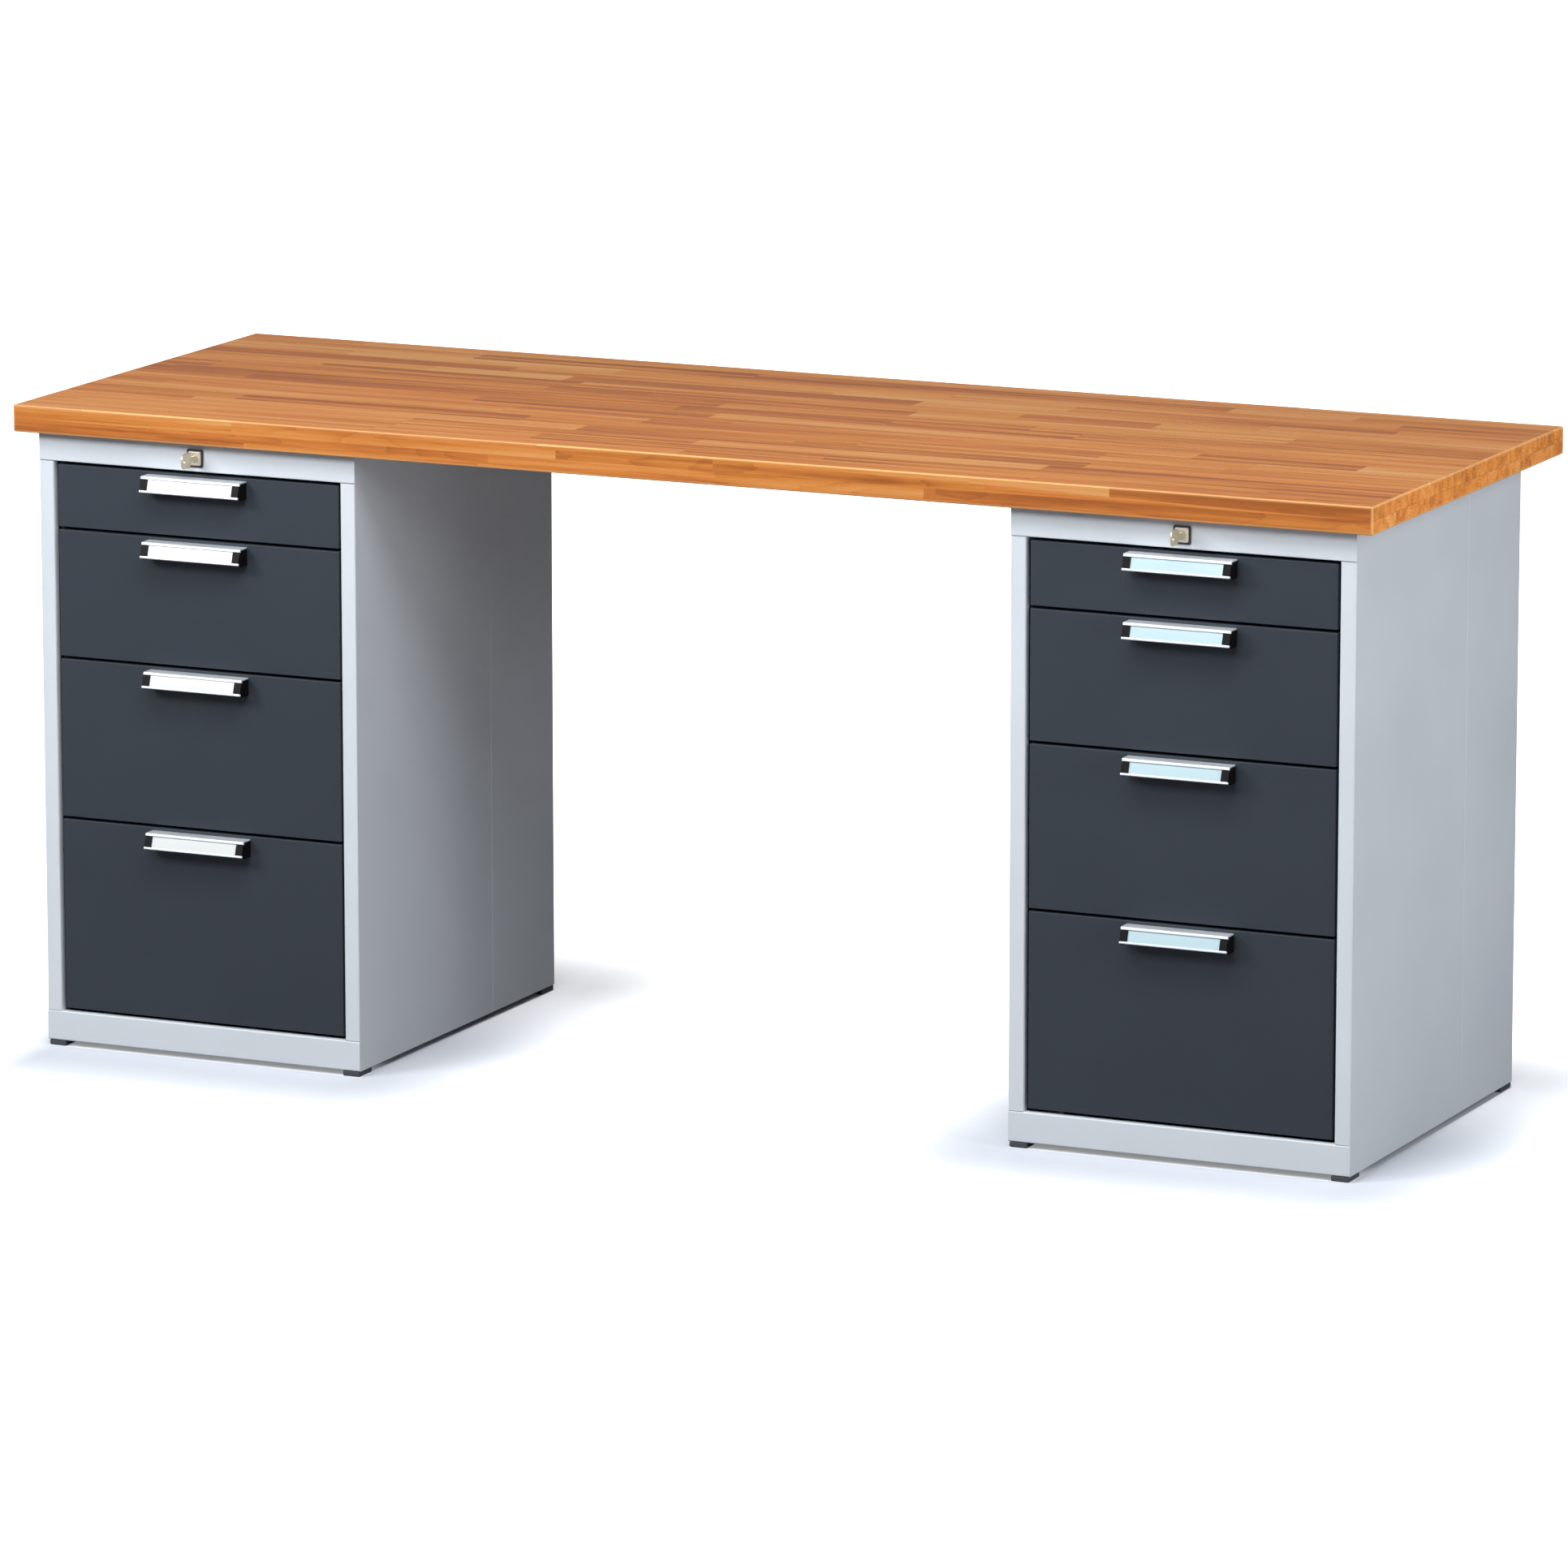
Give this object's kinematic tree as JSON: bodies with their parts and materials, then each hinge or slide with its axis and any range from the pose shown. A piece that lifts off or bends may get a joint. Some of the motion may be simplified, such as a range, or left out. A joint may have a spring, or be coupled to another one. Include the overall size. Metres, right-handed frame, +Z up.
{
  "type": "workbench with drawers",
  "caption": "Long solid-wood worktop on two sheet-metal pedestals, each with lockable drawers of rising height, aluminium label handles and small foot pads.",
  "frame": {"origin": "centre of the whole object's footprint at floor level", "axes": "+Z up, +X along the worktop, drawers open towards -Y"},
  "size_m": [2, 0.732, 0.903],
  "materials": {
    "wood": "oiled edge-glued hardwood staves",
    "carcass_paint": "light grey powder coat, satin",
    "drawer_paint": "anthracite powder coat, satin",
    "tray_paint": "light grey powder coat, satin",
    "zinc_steel": "zinc plated",
    "aluminium": "satin anodised extrusion",
    "grip_plastic": "black moulded",
    "foot_plastic": "dark grey moulded",
    "nickel": "nickel plated",
    "key_steel": "nickel silver"
  },
  "bodies": {
    "bench": {"worktop": "wood", "left_base_tray": "carcass_paint", "left_foot_front_a": "foot_plastic", "left_foot_front_b": "foot_plastic", "left_foot_rear_a": "foot_plastic", "left_foot_rear_b": "foot_plastic", "left_lock_barrel": "nickel", "left_rear_shell": "carcass_paint", "left_runner_cage": "zinc_steel", "left_side_panel_a": "carcass_paint", "left_side_panel_b": "carcass_paint", "left_top_frame": "carcass_paint", "right_base_tray": "carcass_paint", "right_foot_front_a": "foot_plastic", "right_foot_front_b": "foot_plastic", "right_foot_rear_a": "foot_plastic", "right_foot_rear_b": "foot_plastic", "right_lock_barrel": "nickel", "right_rear_shell": "carcass_paint", "right_runner_cage": "zinc_steel", "right_side_panel_a": "carcass_paint", "right_side_panel_b": "carcass_paint", "right_top_frame": "carcass_paint"},
    "left_drawer_1": {"left_drawer_1_tray": "tray_paint", "left_drawer_1_front": "drawer_paint", "left_drawer_1_handle_profile": "aluminium", "left_drawer_1_handle_grip": "grip_plastic"},
    "left_drawer_2": {"left_drawer_2_tray": "tray_paint", "left_drawer_2_front": "drawer_paint", "left_drawer_2_handle_profile": "aluminium", "left_drawer_2_handle_grip": "grip_plastic"},
    "left_drawer_3": {"left_drawer_3_tray": "tray_paint", "left_drawer_3_front": "drawer_paint", "left_drawer_3_handle_profile": "aluminium", "left_drawer_3_handle_grip": "grip_plastic"},
    "left_drawer_4": {"left_drawer_4_tray": "tray_paint", "left_drawer_4_front": "drawer_paint", "left_drawer_4_handle_profile": "aluminium", "left_drawer_4_handle_grip": "grip_plastic"},
    "left_key": {"left_key_and_plug": "key_steel"},
    "left_bar": {"left_locking_bar": "zinc_steel"},
    "right_drawer_1": {"right_drawer_1_tray": "tray_paint", "right_drawer_1_front": "drawer_paint", "right_drawer_1_handle_profile": "aluminium", "right_drawer_1_handle_grip": "grip_plastic"},
    "right_drawer_2": {"right_drawer_2_tray": "tray_paint", "right_drawer_2_front": "drawer_paint", "right_drawer_2_handle_profile": "aluminium", "right_drawer_2_handle_grip": "grip_plastic"},
    "right_drawer_3": {"right_drawer_3_tray": "tray_paint", "right_drawer_3_front": "drawer_paint", "right_drawer_3_handle_profile": "aluminium", "right_drawer_3_handle_grip": "grip_plastic"},
    "right_drawer_4": {"right_drawer_4_tray": "tray_paint", "right_drawer_4_front": "drawer_paint", "right_drawer_4_handle_profile": "aluminium", "right_drawer_4_handle_grip": "grip_plastic"},
    "right_key": {"right_key_and_plug": "key_steel"},
    "right_bar": {"right_locking_bar": "zinc_steel"}
  },
  "joints": [
    {"name": "left_drawer_1_slide", "type": "slide", "parent": "bench", "child": "left_drawer_1", "axis": [0, -1, 0], "range_m": [0, 0.42]},
    {"name": "left_drawer_2_slide", "type": "slide", "parent": "bench", "child": "left_drawer_2", "axis": [0, -1, 0], "range_m": [0, 0.42]},
    {"name": "left_drawer_3_slide", "type": "slide", "parent": "bench", "child": "left_drawer_3", "axis": [0, -1, 0], "range_m": [0, 0.42]},
    {"name": "left_drawer_4_slide", "type": "slide", "parent": "bench", "child": "left_drawer_4", "axis": [0, -1, 0], "range_m": [0, 0.42]},
    {"name": "left_key_turn", "type": "hinge", "parent": "bench", "child": "left_key", "pos_m": [-0.7275, -0.326, 0.844], "axis": [0, 1, 0], "range_deg": [0, 90]},
    {"name": "left_bar_lift", "type": "slide", "parent": "bench", "child": "left_bar", "axis": [0, 0, 1], "range_m": [0, 0.008]},
    {"name": "right_drawer_1_slide", "type": "slide", "parent": "bench", "child": "right_drawer_1", "axis": [0, -1, 0], "range_m": [0, 0.42]},
    {"name": "right_drawer_2_slide", "type": "slide", "parent": "bench", "child": "right_drawer_2", "axis": [0, -1, 0], "range_m": [0, 0.42]},
    {"name": "right_drawer_3_slide", "type": "slide", "parent": "bench", "child": "right_drawer_3", "axis": [0, -1, 0], "range_m": [0, 0.42]},
    {"name": "right_drawer_4_slide", "type": "slide", "parent": "bench", "child": "right_drawer_4", "axis": [0, -1, 0], "range_m": [0, 0.42]},
    {"name": "right_key_turn", "type": "hinge", "parent": "bench", "child": "right_key", "pos_m": [0.7275, -0.326, 0.844], "axis": [0, 1, 0], "range_deg": [0, 90]},
    {"name": "right_bar_lift", "type": "slide", "parent": "bench", "child": "right_bar", "axis": [0, 0, 1], "range_m": [0, 0.008]}
  ],
  "couplings": [
    {"joint": "left_key_turn", "follows": "left_bar_lift", "rad_per_m": 196.35},
    {"joint": "right_key_turn", "follows": "right_bar_lift", "rad_per_m": 196.35}
  ]
}
